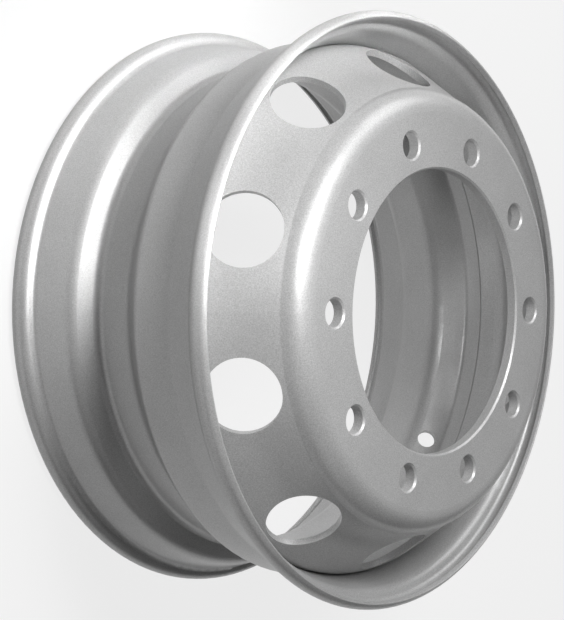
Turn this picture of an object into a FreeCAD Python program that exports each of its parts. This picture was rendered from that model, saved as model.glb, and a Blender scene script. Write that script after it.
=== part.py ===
import FreeCAD, Part
import math
import os

from FreeCAD import Vector

# Steel disc wheel for a heavy vehicle: a rolled drop-centre rim, a dished disc pressed into it,
# and the fillet weld that joins the two.
# Sizes are in millimetres and degrees. The axle is the Z axis, the hub bears on the disc at Z = 0,
# and the outer side of the wheel faces +Z. A section is drawn as (radius, height) about the axle.

# Rim, as rim makers state it
seat_diameter = 571.5
rim_width = 209.55
seat_angle = 15.0
flange_height = 12.7
rim_offset = 157.8
rim_thickness = 5.8

# Flanges and bead seats
flange_radius = 12.0
lip_angle = 66.0
heel_radius = 6.5
lip_edge_radius = 1.2
front_seat_width = 39.0
rear_seat_width = 39.0
seat_end_radius = 20.0

# Drop centre
ledge_width = 45.2
front_wall_angle = 39.5
front_wall_radius = 14.0
well_depth = 33.75
floor_front_radius = 22.0
floor_rear_radius = 12.0
rear_wall_angle = 55.0
rear_shoulder_radius = 20.0

# Valve hole, square to the drop centre's front wall, a few bolt pitches round from the first bolt hole
valve_diameter = 20.0
valve_reach = 19.5
valve_pitches = 4

# Disc, from the bore to the skirt
bore_diameter = 281.0
bore_chamfer = 1.7
face_thickness = 12.0
shoulder_radius = 25.0
shoulder_width = 24.6
crease_depth = 20.0
crease_radius = 5.0
cone_angle = 34.0
cone_thickness = 8.2
knuckle_radius = 15.0
skirt_thickness = 6.3
skirt_bend_radius = 40.0
skirt_length = 29.8
skirt_overlap = 18.3

# Bolt circle and hand holes
bolt_count = 10
bolt_circle = 335.0
bolt_hole = 26.0
bolt_chamfer = 1.75
hand_hole = 72.0
hand_hole_reach = 41.0

# Weld between the disc's skirt and the rim
weld_leg = 6.0
weld_crown = 0.8

# Straight runs shorter than this are left out of a section
shortest_run = 0.001

axle = Vector(0, 0, 1)
centre = Vector(0, 0, 0)


def along(angle):
    """Unit step in the section plane, from the outward direction (0) toward the outer side (90)."""
    return math.cos(math.radians(angle)), math.sin(math.radians(angle))


def shifted(point, step, length):
    return point[0] + step[0] * length, point[1] + step[1] * length


def crossing(point_a, angle_a, point_b, angle_b):
    """Point where two lines meet, each given by a point and the angle of its normal."""
    na, nb = along(angle_a), along(angle_b)
    ca = point_a[0] * na[0] + point_a[1] * na[1]
    cb = point_b[0] * nb[0] + point_b[1] * nb[1]
    det = na[0] * nb[1] - na[1] * nb[0]
    return (ca * nb[1] - cb * na[1]) / det, (na[0] * cb - nb[0] * ca) / det


def in_space(point):
    return Vector(point[0], 0, point[1])


def line(start, end):
    return Part.makeLine(in_space(start), in_space(end))


def arc(start, middle, end):
    return Part.Arc(in_space(start), in_space(middle), in_space(end)).toShape()


def spun(edges):
    """Solid of revolution about the axle from the closed outline of a section."""
    face = Part.Face(Part.Wire(Part.__sortEdges__(edges)))
    solid = face.revolve(centre, axle, 360)
    if solid.Volume < 0:
        solid.reverse()
    return solid


# A sheet section is a chain of bends joined by straight runs. A bend is (centre, radius, angle in,
# angle out), the angles being those of the tyre side's normal, and a hollow bend's radius is negative.

def bend_at(corner, radius, angle_in, angle_out):
    """Bend that rounds a corner between two straight runs."""
    a, b = along(angle_in), along(angle_out)
    reach = radius / (1 + a[0] * b[0] + a[1] * b[1])
    return (corner[0] - reach * (a[0] + b[0]), corner[1] - reach * (a[1] + b[1])), radius, angle_in, angle_out


def hollow_bend(curl, radius, point, angle, hollow_radius, side):
    """Where a hollow bend between a round and a straight run meets the round, and its centre."""
    n = along(angle)
    depth = (curl[0] - point[0]) * n[0] + (curl[1] - point[1]) * n[1]
    turn = math.degrees(math.acos((hollow_radius - depth) / (radius + hollow_radius)))
    meet = angle + side * turn
    return meet, shifted(curl, along(meet), radius + hollow_radius)


def bend_point(bend, share, depth=0):
    middle, radius, angle_in, angle_out = bend
    return shifted(middle, along(angle_in + (angle_out - angle_in) * share), radius - depth)


def sheet_side(bends, depth):
    """Edges of one side of the sheet, at a depth below the tyre side."""
    edges = []
    last = None
    for bend in bends:
        start, middle, end = [bend_point(bend, share, depth) for share in (0, 0.5, 1)]
        if last is not None and math.dist(last, start) > shortest_run:
            edges.append(line(last, start))
        edges.append(arc(start, middle, end))
        last = end
    return edges


# Landmarks of the rim, worked out from its offset
seat_radius = seat_diameter / 2
front_face = -rim_offset + rim_width / 2
rear_face = -rim_offset - rim_width / 2
seat_drop = math.tan(math.radians(seat_angle))
front_ledge = (seat_radius - front_seat_width * seat_drop, front_face - front_seat_width)
rear_ledge = (seat_radius - rear_seat_width * seat_drop, rear_face + rear_seat_width)
ledge_inner = front_ledge[0] - rim_thickness
front_wall_top = (front_ledge[0], front_ledge[1] - ledge_width)
floor_radius = seat_radius - well_depth
front_wall_foot = crossing(front_wall_top, -front_wall_angle, (floor_radius, 0), 0)
rear_wall_foot = rear_ledge[1] + (rear_ledge[0] - floor_radius) / math.tan(math.radians(rear_wall_angle))


def curl_centre(face, side):
    return seat_radius + flange_height - flange_radius, face + side * flange_radius


def lip_corner(depth):
    """Reach of a lip corner's centre from the curl's centre, and its angle back from the lip's end."""
    reach = flange_radius - depth + (lip_edge_radius if depth else -lip_edge_radius)
    return reach, math.degrees(math.asin(lip_edge_radius / reach))


def lip_end(face, side):
    """End of the sheet at one lip, with both corners rounded."""
    curl = curl_centre(face, side)
    end = side * lip_angle
    edges = []
    stops = []
    tyre_side, wheel_side = (0, 45), (rim_thickness, 135)
    for depth, skew in (tyre_side, wheel_side):
        reach, turn = lip_corner(depth)
        middle = shifted(curl, along(end - side * turn), reach)
        on_side = shifted(curl, along(end - side * turn), flange_radius - depth)
        crown = shifted(middle, along(end + side * (skew - turn / 2)), lip_edge_radius)
        stops.append(shifted(middle, along(end + side * 90), lip_edge_radius))
        edges.append(arc(on_side, crown, stops[-1]))
    return edges + [line(*stops)]


def flange_bends(face, side, depth):
    """Flange curl and heel at one face; side is 1 at the outer end and -1 at the hub end."""
    curl = curl_centre(face, side)
    slope = -side * seat_angle
    meet, heel = hollow_bend(curl, flange_radius, (seat_radius, face), slope, heel_radius, -side)
    lip = side * (lip_angle - lip_corner(depth)[1])
    return (curl, flange_radius, lip, meet), (heel, -heel_radius, meet, slope)


def rim_bends(depth):
    front_curl, front_heel = flange_bends(front_face, 1, depth)
    rear_curl, rear_heel = flange_bends(rear_face, -1, depth)
    return [
        front_curl,
        front_heel,
        bend_at(front_ledge, -seat_end_radius, -seat_angle, 0),
        bend_at(front_wall_top, front_wall_radius, 0, -front_wall_angle),
        bend_at(front_wall_foot, -floor_front_radius, -front_wall_angle, 0),
        bend_at((floor_radius, rear_wall_foot), -floor_rear_radius, 0, rear_wall_angle),
        bend_at(rear_ledge, rear_shoulder_radius, rear_wall_angle, seat_angle),
        (rear_heel[0], rear_heel[1], rear_heel[3], rear_heel[2]),
        (rear_curl[0], rear_curl[1], rear_curl[3], rear_curl[2]),
    ]


def valve_drill():
    """Drill through the drop centre's front wall, in line with a bolt hole."""
    axis = along(-front_wall_angle)
    mouth = shifted(front_wall_top, along(-front_wall_angle - 90), valve_reach)
    start = shifted(mouth, axis, -2 * rim_thickness)
    drill = Part.makeCylinder(valve_diameter / 2, 3 * rim_thickness, in_space(start), in_space(axis))
    drill.rotate(centre, axle, valve_pitches * 360 / bolt_count)
    return drill


def make_rim():
    outline = lip_end(front_face, 1) + lip_end(rear_face, -1)
    for depth in (0, rim_thickness):
        outline += sheet_side(rim_bends(depth), depth)
    return spun(outline).cut(valve_drill())


# Landmarks of the disc: the skirt ends a little way down the rim's ledge, and the cone rises from it
# to the crease under the shoulder
skirt_outer = ledge_inner
skirt_inner = skirt_outer - skirt_thickness
skirt_end = front_ledge[1] - skirt_overlap
skirt_corner = (skirt_outer, skirt_end + skirt_length)
crease_height = face_thickness - crease_depth
crease_reach = skirt_outer - (crease_height - skirt_corner[1]) * math.tan(math.radians(cone_angle))
crease = (crease_reach, crease_height)


def disc_sides():
    """Bends of the disc's outer side, and of its inner side, from the bore to the skirt."""
    shoulder = (crease[0] - shoulder_width, face_thickness - shoulder_radius)
    meet, hollow = hollow_bend(shoulder, shoulder_radius, crease, cone_angle, crease_radius, -1)
    outer = [
        (shoulder, shoulder_radius, 90, meet),
        (hollow, -crease_radius, meet, cone_angle),
        bend_at(skirt_corner, skirt_bend_radius, cone_angle, 0),
    ]
    top = shifted(crease, along(cone_angle), -cone_thickness)
    foot = bend_at(skirt_corner, skirt_thickness, cone_angle, 0)[0]
    slope = math.degrees(math.atan2(foot[0] - top[0], top[1] - foot[1]))
    inner = [
        bend_at(crossing(top, slope, centre[:2], 90), knuckle_radius, 90, slope),
        bend_at(foot, skirt_bend_radius - skirt_thickness, slope, 0),
    ]
    return outer, inner


def ring(tool, turn):
    """Copies of a tool about the axle, one for each bolt, the first turned by a share of the pitch."""
    pitch = 360 / bolt_count
    copies = []
    for i in range(bolt_count):
        copies.append(tool.copy())
        copies[-1].rotate(centre, axle, (i + turn) * pitch)
    return Part.makeCompound(copies)


def bolt_drill():
    """Drill for one bolt hole, with the chamfer at the nut's side."""
    r = bolt_hole / 2
    mouth = face_thickness - bolt_chamfer
    drill = Part.makeCylinder(r, face_thickness).fuse(
        Part.makeCone(r, r + 2 * bolt_chamfer, 2 * bolt_chamfer, Vector(0, 0, mouth)))
    drill.translate(Vector(bolt_circle / 2, 0, 0))
    return drill


def hand_hole_punch():
    """Punch square to the cone."""
    middle = shifted(crease, along(cone_angle - 90), hand_hole_reach)
    start = shifted(middle, along(cone_angle), -2 * cone_thickness)
    return Part.makeCylinder(hand_hole / 2, 4 * cone_thickness, in_space(start), in_space(along(cone_angle)))


def make_disc():
    outer, inner = disc_sides()
    mouth = bore_diameter / 2
    rims = [
        (mouth + bore_chamfer, 0),
        (mouth, bore_chamfer),
        (mouth, face_thickness - bore_chamfer),
        (mouth + bore_chamfer, face_thickness),
    ]
    outline = sheet_side(outer, 0) + sheet_side(inner, 0)
    outline += [line(a, b) for a, b in zip(rims, rims[1:])]
    outline.append(line(rims[-1], bend_point(outer[0], 0)))
    outline.append(line(rims[0], bend_point(inner[0], 0)))
    outline.append(line((skirt_outer, skirt_end), bend_point(outer[-1], 1)))
    outline.append(line((skirt_inner, skirt_end), bend_point(inner[-1], 1)))
    outline.append(line((skirt_outer, skirt_end), (skirt_inner, skirt_end)))
    return spun(outline).cut(ring(bolt_drill(), 0)).cut(ring(hand_hole_punch(), 0.5))


def make_weld():
    """Fillet weld in the corner between the skirt's end and the ledge, with a slightly raised face."""
    root = (skirt_outer, skirt_end)
    on_rim = shifted(root, along(-90), weld_leg)
    on_disc = shifted(root, along(180), weld_leg)
    chord = ((on_rim[0] + on_disc[0]) / 2, (on_rim[1] + on_disc[1]) / 2)
    bead = arc(on_rim, shifted(chord, along(225), weld_crown), on_disc)
    return spun([line(root, on_rim), line(root, on_disc), bead])


os.makedirs("parts", exist_ok=True)
for name, make in (("rim", make_rim), ("disc", make_disc), ("disc_weld", make_weld)):
    make().exportStep(f"parts/{name}.step")
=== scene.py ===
import math

import bmesh
import bpy
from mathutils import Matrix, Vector


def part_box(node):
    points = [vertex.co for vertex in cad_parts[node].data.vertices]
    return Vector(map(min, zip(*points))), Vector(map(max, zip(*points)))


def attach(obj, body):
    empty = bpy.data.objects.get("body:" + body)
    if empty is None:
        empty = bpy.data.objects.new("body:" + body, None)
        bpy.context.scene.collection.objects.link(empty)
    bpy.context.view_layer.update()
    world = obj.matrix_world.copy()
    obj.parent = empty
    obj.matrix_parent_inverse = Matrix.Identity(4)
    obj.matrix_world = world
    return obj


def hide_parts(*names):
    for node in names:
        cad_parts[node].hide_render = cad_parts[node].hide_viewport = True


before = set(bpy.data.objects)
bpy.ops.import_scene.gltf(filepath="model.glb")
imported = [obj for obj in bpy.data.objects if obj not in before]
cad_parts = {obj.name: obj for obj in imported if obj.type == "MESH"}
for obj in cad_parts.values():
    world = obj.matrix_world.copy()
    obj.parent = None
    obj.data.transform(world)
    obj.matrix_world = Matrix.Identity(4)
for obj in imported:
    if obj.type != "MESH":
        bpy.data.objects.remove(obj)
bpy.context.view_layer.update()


# The rolled steel rim: one strip bent to the drop-centre section and sprayed with the whole wheel in
# silver enamel. The enamel holds fine aluminium flake, so it shows a grain of light and dark specks,
# varies a little in tone and gloss and has a soft orange-peel surface.

ENAMEL_GREY = (0.56, 0.56, 0.56)
ENAMEL_METALLIC = 0.3
ENAMEL_ROUGHNESS = 0.42
CLEAR_COAT = 0.2
CLEAR_COAT_ROUGHNESS = 0.15
RIM_GRAIN = 0.17
NOISE_LOW = 0.3
NOISE_HIGH = 0.7
FLAKE_SCALE = 850.0
FLAKE_ROUGHNESS = 0.7
TONE_SCALE = 14.0
TONE_SWING = 0.04
GLOSS_SCALE = 300.0
GLOSS_SWING = 0.05
PEEL_SCALE = 420.0
FINE_PEEL_SCALE = 1400.0
PEEL_STRENGTH = 0.10
PEEL_HEIGHT = 0.0004


def silver_enamel(name, roughness, grain):
    """Silver wheel enamel: grey with metal flake, a clear gloss over it and orange peel."""
    material = bpy.data.materials.new(name)
    material.use_nodes = True
    nodes = material.node_tree.nodes
    links = material.node_tree.links
    shader = nodes["Principled BSDF"]
    shader.inputs["Metallic"].default_value = ENAMEL_METALLIC
    shader.inputs["Coat Weight"].default_value = CLEAR_COAT
    shader.inputs["Coat Roughness"].default_value = CLEAR_COAT_ROUGHNESS
    place = nodes.new("ShaderNodeTexCoord").outputs["Object"]

    def noise(scale, detail, rough=0.5):
        node = nodes.new("ShaderNodeTexNoise")
        node.inputs["Scale"].default_value = scale
        node.inputs["Detail"].default_value = detail
        node.inputs["Roughness"].default_value = rough
        links.new(place, node.inputs["Vector"])
        return node.outputs["Fac"]

    def swing(source, middle, reach):
        node = nodes.new("ShaderNodeMapRange")
        node.inputs["From Min"].default_value = NOISE_LOW
        node.inputs["From Max"].default_value = NOISE_HIGH
        node.inputs["To Min"].default_value = middle - reach
        node.inputs["To Max"].default_value = middle + reach
        links.new(source, node.inputs["Value"])
        return node.outputs["Result"]

    def blend(mode, first, second):
        node = nodes.new("ShaderNodeMath")
        node.operation = mode
        links.new(first, node.inputs[0])
        links.new(second, node.inputs[1])
        return node.outputs[0]

    flake = swing(noise(FLAKE_SCALE, detail=2.0, rough=FLAKE_ROUGHNESS), 1.0, grain)
    tone = swing(noise(TONE_SCALE, detail=3.0), 1.0, TONE_SWING)
    tint = nodes.new("ShaderNodeVectorMath")
    tint.operation = "SCALE"
    tint.inputs[0].default_value = ENAMEL_GREY
    links.new(blend("MULTIPLY", flake, tone), tint.inputs["Scale"])
    links.new(tint.outputs["Vector"], shader.inputs["Base Color"])

    gloss = swing(noise(GLOSS_SCALE, detail=2.0), roughness, GLOSS_SWING)
    links.new(gloss, shader.inputs["Roughness"])

    peel = nodes.new("ShaderNodeBump")
    peel.inputs["Strength"].default_value = PEEL_STRENGTH
    peel.inputs["Distance"].default_value = PEEL_HEIGHT
    coarse = noise(PEEL_SCALE, detail=1.0)
    fine = noise(FINE_PEEL_SCALE, detail=0.0)
    links.new(blend("ADD", coarse, fine), peel.inputs["Height"])
    links.new(peel.outputs["Normal"], shader.inputs["Normal"])
    return material


def finish_node(name, material):
    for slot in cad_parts[name].material_slots:
        slot.material = material


finish_node("rim", silver_enamel("rim_enamel", ENAMEL_ROUGHNESS, RIM_GRAIN))


# The pressed steel disc: flat where the wheel nuts bear, rounded at the shoulder and drawn down in a
# cone to the skirt inside the rim. It is sprayed with the rim, and its hot-rolled surface shows
# through the enamel as a slightly stronger grain.

DISC_GRAIN = 0.20

finish_node("disc", silver_enamel("disc_enamel", ENAMEL_ROUGHNESS, DISC_GRAIN))


# The fillet weld run all round by a welding machine: a hollow bead of overlapping ripples that closes
# the corner between the skirt's end and the rim's ledge. The same enamel covers it, a little duller.
# The ripples bow forward in the middle of the bead, and its two edges stay smooth against the steel.

BEAD_STEPS = 2200
BEAD_RIPPLES = 550
RIPPLE_HEIGHT = 0.00035
RIPPLE_BOW = 0.35
BEAD_FACE_POINTS = 6
BEAD_HOLLOW = 0.19
BEAD_SMOOTH_EDGE = 0.02
BEAD_DULLER = 0.04
SAME_POINT = 1e-6


def weld_bead():
    low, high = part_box("disc_weld")
    outer = high.x
    leg = high.z - low.z
    centre = Vector((outer, 0.0, high.z))
    shape = bmesh.new()
    ring = [shape.verts.new(centre)]
    for i in range(BEAD_FACE_POINTS + 1):
        angle = math.pi + i / BEAD_FACE_POINTS * math.pi / 2
        run = leg * (1.0 - BEAD_HOLLOW * math.sin(2 * (angle - math.pi)))
        ring.append(shape.verts.new(centre + run * Vector((math.cos(angle), 0.0, math.sin(angle)))))
    edges = [shape.edges.new((a, b)) for a, b in zip(ring, ring[1:] + ring[:1])]
    bmesh.ops.spin(shape, geom=ring + edges, cent=(0, 0, 0), axis=(0, 0, 1), angle=2 * math.pi,
                   steps=BEAD_STEPS, use_merge=True, use_duplicate=False)
    bmesh.ops.remove_doubles(shape, verts=shape.verts, dist=SAME_POINT)
    for vert in shape.verts:
        reach = math.hypot(vert.co.x, vert.co.y)
        drop = high.z - vert.co.z
        inward = outer - reach
        if min(drop, inward) < leg * BEAD_SMOOTH_EDGE:
            continue
        turn = math.atan2(vert.co.y, vert.co.x) / (2 * math.pi) * BEAD_RIPPLES
        lag = RIPPLE_BOW * math.cos(math.pi * (drop - inward) / (drop + inward))
        swell = RIPPLE_HEIGHT * ((turn + lag) % 1.0 - 0.5)
        away = Vector((-vert.co.x / reach, -vert.co.y / reach, -1.0)).normalized()
        vert.co += away * swell
    bmesh.ops.recalc_face_normals(shape, faces=shape.faces)
    mesh = bpy.data.meshes.new("weld_bead")
    shape.to_mesh(mesh)
    shape.free()
    mesh.shade_smooth()
    bead = bpy.data.objects.new("weld_bead", mesh)
    bpy.context.scene.collection.objects.link(bead)
    mesh.materials.append(silver_enamel("bead_enamel", ENAMEL_ROUGHNESS + BEAD_DULLER, RIM_GRAIN))
    return bead


bead = weld_bead()
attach(bead, "root")
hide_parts("disc_weld")


# A plain studio floor under the lying wheel. It glows pale to the camera and in mirror images, while
# its own grey is dark, so that it throws little light up under the wheel and keeps a soft shadow.

FLOOR_HALF = 14.0
FLOOR_GLOW = 0.80
FLOOR_GREY = 0.15


def studio_floor():
    shape = bmesh.new()
    bmesh.ops.create_grid(shape, x_segments=1, y_segments=1, size=FLOOR_HALF)
    bmesh.ops.translate(shape, verts=shape.verts, vec=(0, 0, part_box("rim")[0].z))
    mesh = bpy.data.meshes.new("studio_floor")
    shape.to_mesh(mesh)
    shape.free()
    floor = bpy.data.objects.new("studio_floor", mesh)
    bpy.context.scene.collection.objects.link(floor)
    material = bpy.data.materials.new("pale_floor")
    material.use_nodes = True
    nodes = material.node_tree.nodes
    links = material.node_tree.links
    nodes.remove(nodes["Principled BSDF"])
    matt = nodes.new("ShaderNodeBsdfDiffuse")
    matt.inputs["Color"].default_value = (FLOOR_GREY, FLOOR_GREY, FLOOR_GREY, 1)
    shown = nodes.new("ShaderNodeEmission")
    shown.inputs["Color"].default_value = (1, 1, 1, 1)
    shown.inputs["Strength"].default_value = FLOOR_GLOW
    both = nodes.new("ShaderNodeAddShader")
    links.new(matt.outputs[0], both.inputs[0])
    links.new(shown.outputs[0], both.inputs[1])
    ray = nodes.new("ShaderNodeLightPath")
    seen = ray.outputs["Is Camera Ray"]
    for kind in ("Is Glossy Ray", "Is Transmission Ray"):
        either = nodes.new("ShaderNodeMath")
        either.operation = "MAXIMUM"
        links.new(seen, either.inputs[0])
        links.new(ray.outputs[kind], either.inputs[1])
        seen = either.outputs[0]
    mix = nodes.new("ShaderNodeMixShader")
    links.new(seen, mix.inputs[0])
    links.new(matt.outputs[0], mix.inputs[1])
    links.new(both.outputs[0], mix.inputs[2])
    links.new(mix.outputs[0], nodes["Material Output"].inputs["Surface"])
    mesh.materials.append(material)
    return floor


studio_floor()


# A small hard lamp close in front on the left throws the front flange's shadow over the tyre side.
# Two lamps beside the camera and soft boxes round the wheel fill the rest. Three narrow lamps above
# the rim's edge shine down past the front flange and brighten the rear half of the tyre side.

WHEEL_MIDDLE = (0, 0, -0.12)
SOFT_BOX = 1.5
SIDE_LAMP_SIZE = 0.08
SIDE_LAMP_SPREAD = 40.0
SIDE_LAMP_REACH = 0.39
SIDE_LAMP_HEIGHT = 0.30
SIDE_AIM_REACH = 0.31
SIDE_AIM_HEIGHT = -0.26
ROOM_GLOW = 0.02


def lamp(name, place, size, power, aim=WHEEL_MIDDLE, spread=180.0):
    light = bpy.data.lights.new(name, "AREA")
    light.shape = "DISK"
    light.size = size
    light.energy = power
    light.spread = math.radians(spread)
    box = bpy.data.objects.new(name, light)
    bpy.context.scene.collection.objects.link(box)
    box.location = place
    box.rotation_euler = (Vector(aim) - Vector(place)).to_track_quat("-Z", "Y").to_euler()
    box.visible_camera = False


lamp("key_lamp", (0.385, -0.160, 0.287), 0.12, 0.95)
lamp("upper_lamp", (0.45, -0.75, 1.20), 0.40, 6.6)
lamp("camera_lamp", (0.80, 0.05, 1.20), 0.40, 0.7)
lamp("top_box", (0.35, -1.35, 2.10), SOFT_BOX, 25.0)
lamp("top_right_box", (-1.13, -1.95, 1.18), SOFT_BOX, 14.0)
lamp("right_box", (-2.12, 0.77, 1.18), SOFT_BOX, 1.5)
lamp("low_box", (0.39, 2.22, 1.18), SOFT_BOX, 2.0)
lamp("low_left_box", (1.73, 1.45, 1.18), SOFT_BOX, 2.2)

for i, (turn, power) in enumerate(((-15, 0.06), (-50, 0.10), (-85, 0.11))):
    toward = Vector((math.cos(math.radians(turn)), math.sin(math.radians(turn)), 0))
    lamp(f"tyre_side_lamp_{i + 1}", SIDE_LAMP_REACH * toward + Vector((0, 0, SIDE_LAMP_HEIGHT)),
         SIDE_LAMP_SIZE, power, aim=SIDE_AIM_REACH * toward + Vector((0, 0, SIDE_AIM_HEIGHT)),
         spread=SIDE_LAMP_SPREAD)

world = bpy.data.worlds.new("dim_room")
world.use_nodes = True
world.node_tree.nodes["Background"].inputs["Color"].default_value = (1, 1, 1, 1)
world.node_tree.nodes["Background"].inputs["Strength"].default_value = ROOM_GLOW
bpy.context.scene.world = world


# The camera looks down on the lying wheel and is rolled, so that the wheel stands upright in the
# picture. Its place, turn and lens are fitted to the photo.

CAMERA_PLACE = (1.26792, -0.02769, 0.87752)
CAMERA_TURN = (-1.7037, -49.8316, -179.1228)
CAMERA_LENS = 90.155
SENSOR_WIDTH = 36.0

lens = bpy.data.cameras.new("camera")
lens.sensor_width = SENSOR_WIDTH
lens.sensor_fit = "AUTO"
lens.lens = CAMERA_LENS
camera = bpy.data.objects.new("camera", lens)
camera.location = CAMERA_PLACE
camera.rotation_euler = [math.radians(turn) for turn in CAMERA_TURN]
bpy.context.scene.collection.objects.link(camera)
bpy.context.scene.camera = camera

bpy.context.scene.view_settings.view_transform = "Standard"
